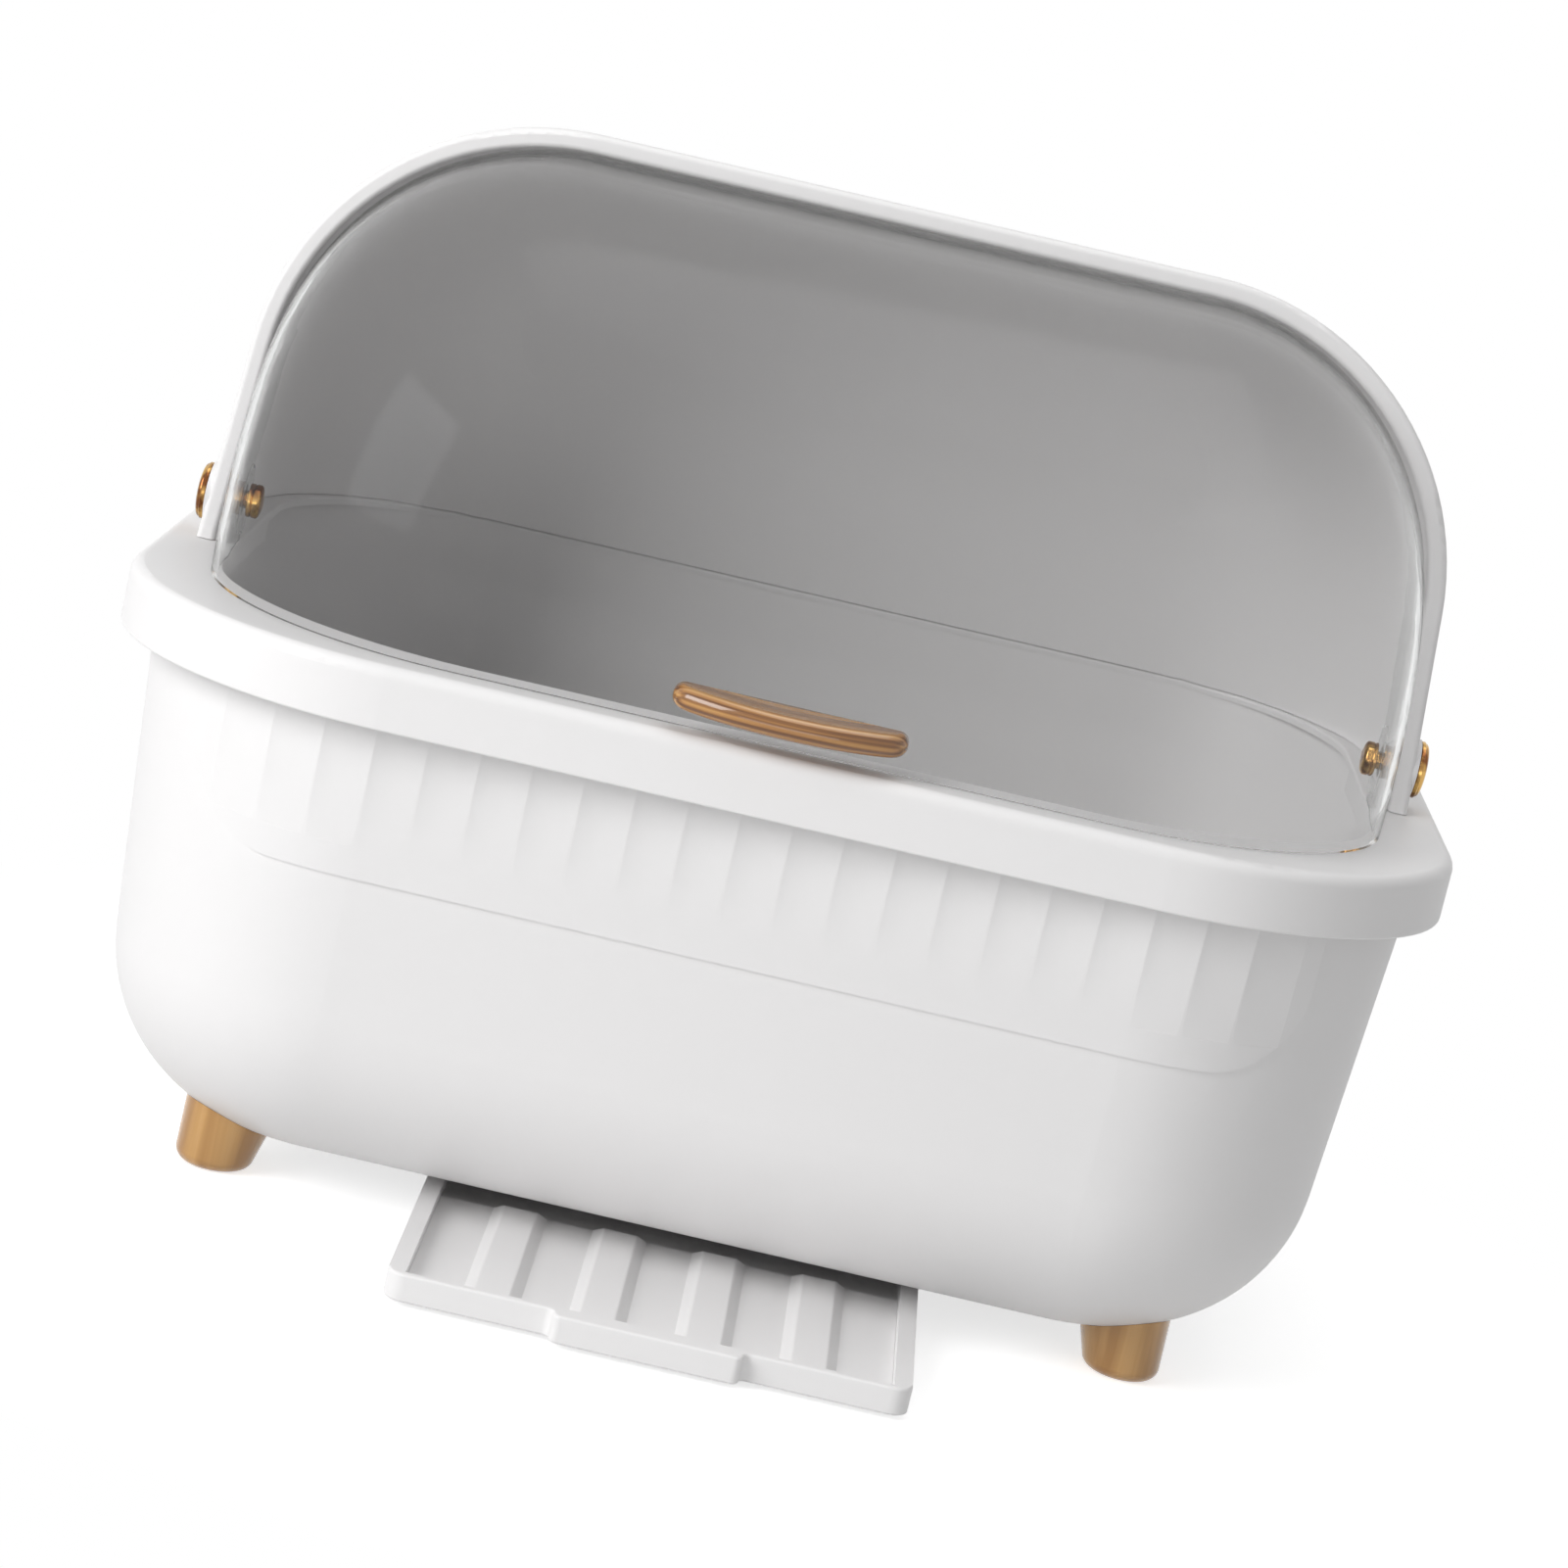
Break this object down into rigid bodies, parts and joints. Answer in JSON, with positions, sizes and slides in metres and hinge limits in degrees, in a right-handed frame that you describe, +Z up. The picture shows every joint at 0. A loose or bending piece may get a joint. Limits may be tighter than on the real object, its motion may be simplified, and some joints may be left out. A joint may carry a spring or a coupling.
{
  "type": "covered dish drying box",
  "caption": "Countertop dish drying box: round-cornered tub on splayed legs, hood with clear swing-up visor, drain rack with plate combs and cutlery cup, pull-out drip tray.",
  "frame": {"origin": "centre of the footprint at floor level, under the drip tray and the tub", "axes": "+X to the user's right along the rim, +Y to the back, +Z up"},
  "size_m": [0.5, 0.403, 0.3975],
  "materials": {
    "white_plastic": "satin moulded",
    "rack_plastic": "satin moulded",
    "grey_plastic": "matt moulded",
    "clear_plastic": "clear, polished",
    "bronze_wood": "gloss lacquer over a brown grain",
    "brass_trim": "polished",
    "leg_wood": "satin lacquer over a tan grain",
    "screw_steel": "bare"
  },
  "bodies": {
    "base": {"tub": "white_plastic", "rim_collar": "white_plastic", "leg_front_left": "leg_wood", "leg_front_right": "leg_wood", "leg_rear_left": "leg_wood", "leg_rear_right": "leg_wood", "leg_screws": "screw_steel", "drain_strainer": "grey_plastic", "tray_rail_left": "white_plastic", "tray_rail_right": "white_plastic", "rail_screws": "screw_steel"},
    "hood": {"hood_shell": "white_plastic", "hinge_pin_left": "brass_trim", "hinge_pin_right": "brass_trim", "hinge_washer_left": "grey_plastic", "hinge_washer_right": "grey_plastic", "hinge_nut_left": "brass_trim", "hinge_nut_right": "brass_trim"},
    "visor": {"visor_shell": "clear_plastic", "visor_handle": "bronze_wood", "handle_screws": "screw_steel"},
    "drip_tray": {"drip_tray": "white_plastic", "tray_deck": "white_plastic"},
    "drain_rack": {"drain_rack": "rack_plastic", "plate_comb_left": "rack_plastic", "plate_comb_right": "rack_plastic"},
    "cutlery_cup": {"cutlery_cup": "rack_plastic"}
  },
  "joints": [
    {"name": "hood_lift", "type": "slide", "parent": "base", "child": "hood", "axis": [0, 0, 1], "range_m": [0, 0.06]},
    {"name": "visor_swing", "type": "hinge", "parent": "hood", "child": "visor", "pos_m": [0, 0.0065, 0.2315], "axis": [-1, 0, 0], "range_deg": [0, 85]},
    {"name": "tray_slide", "type": "slide", "parent": "base", "child": "drip_tray", "axis": [0, -1, 0], "range_m": [-0.056, 0.06]},
    {"name": "rack_lift", "type": "slide", "parent": "base", "child": "drain_rack", "axis": [0, 0, 1], "range_m": [0, 0.04]},
    {"name": "cup_lift", "type": "slide", "parent": "drain_rack", "child": "cutlery_cup", "axis": [0, 0, 1], "range_m": [0, 0.04]}
  ]
}
